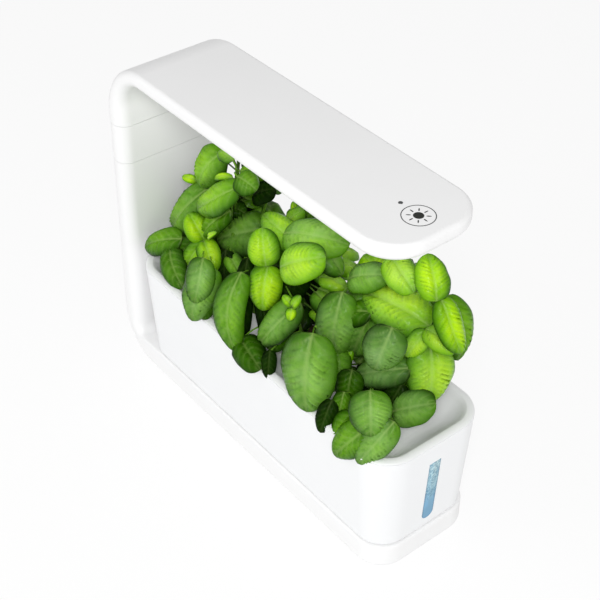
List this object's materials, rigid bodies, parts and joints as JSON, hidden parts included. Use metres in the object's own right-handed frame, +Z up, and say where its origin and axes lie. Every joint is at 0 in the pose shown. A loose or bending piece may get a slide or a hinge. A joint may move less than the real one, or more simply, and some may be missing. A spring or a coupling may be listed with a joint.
{
  "type": "countertop hydroponic garden",
  "caption": "Countertop hydroponic garden: C-shaped frame with a grow light in its arm over a water tank, whose planting deck holds net pots of basil.",
  "frame": {"origin": "on the surface that the garden stands on, midway along and across the frame", "axes": "+X along the frame from the column to the front, +Y across it towards the power inlet's side, +Z up"},
  "size_m": [0.4037, 0.1441, 0.338],
  "materials": {
    "frame_white": "satin moulded",
    "inner_white": "matt moulded",
    "foot_rubber": "matt",
    "screw_steel": "turned",
    "black_plastic": "matt moulded",
    "board_green": "solder mask",
    "lead_sleeving": "satin",
    "contact_brass": "plated",
    "board_white": "white solder mask on metal",
    "led_yellow": "clear over phosphor",
    "milky_plastic": "milky",
    "touch_white": "printed grey ring",
    "indicator_grey": "smoked",
    "tank_white": "satin moulded",
    "clear_plastic": "clear, tinted by the water behind it",
    "seal_rubber": "matt",
    "float_white": "moulded",
    "deck_white": "satin moulded",
    "pot_white": "moulded",
    "plug_brown": "fibrous coir",
    "basil_green": "living leaf"
  },
  "bodies": {
    "base": {"base_shell": "frame_white", "bottom_plate": "inner_white", "rubber_feet": "foot_rubber", "bottom_screws": "screw_steel", "power_inlet": "black_plastic", "inlet_board": "board_green", "column_socket": "black_plastic", "column_leads": "lead_sleeving"},
    "sleeve": {"sleeve_shell": "frame_white", "sleeve_collar": "inner_white", "sleeve_link": "black_plastic", "sleeve_pins": "contact_brass"},
    "hood": {"hood_shell": "frame_white", "hood_collar": "inner_white", "hood_plug": "black_plastic", "hood_pins": "contact_brass", "hood_leads": "lead_sleeving", "led_board": "board_white", "leds": "led_yellow", "diffuser": "milky_plastic", "diffuser_screws": "screw_steel", "touch_field": "touch_white", "touch_board": "board_green", "indicator_light": "indicator_grey"},
    "water_tank": {"tank": "tank_white", "gauge_window": "clear_plastic", "gauge_seal": "seal_rubber", "float_guide": "milky_plastic"},
    "float": {"gauge_float": "float_white"},
    "deck": {"planting_deck": "deck_white"},
    "pot_1": {"net_pot_1": "pot_white", "grow_plug_1": "plug_brown", "basil_1": "basil_green"},
    "pot_2": {"net_pot_2": "pot_white", "grow_plug_2": "plug_brown", "basil_2": "basil_green"},
    "pot_3": {"net_pot_3": "pot_white", "grow_plug_3": "plug_brown", "basil_3": "basil_green"}
  },
  "joints": [
    {"name": "sleeve_lift", "type": "slide", "parent": "base", "child": "sleeve", "axis": [0, 0, 1], "range_m": [0, 0.06]},
    {"name": "hood_lift", "type": "slide", "parent": "sleeve", "child": "hood", "axis": [0, 0, 1], "range_m": [0, 0.06]},
    {"name": "tank_slide", "type": "slide", "parent": "base", "child": "water_tank", "axis": [0, -1, 0], "range_m": [0, 0.15]},
    {"name": "float_rise", "type": "slide", "parent": "water_tank", "child": "float", "axis": [0.0572, 0, 0.9984], "range_m": [0, 0.057]},
    {"name": "deck_lift", "type": "slide", "parent": "water_tank", "child": "deck", "axis": [0, 0, 1], "range_m": [0, 0.02]},
    {"name": "pot_lift_1", "type": "slide", "parent": "deck", "child": "pot_1", "axis": [0, 0, 1], "range_m": [0, 0.025]},
    {"name": "pot_lift_2", "type": "slide", "parent": "deck", "child": "pot_2", "axis": [0, 0, 1], "range_m": [0, 0.025]},
    {"name": "pot_lift_3", "type": "slide", "parent": "deck", "child": "pot_3", "axis": [0, 0, 1], "range_m": [0, 0.025]}
  ]
}
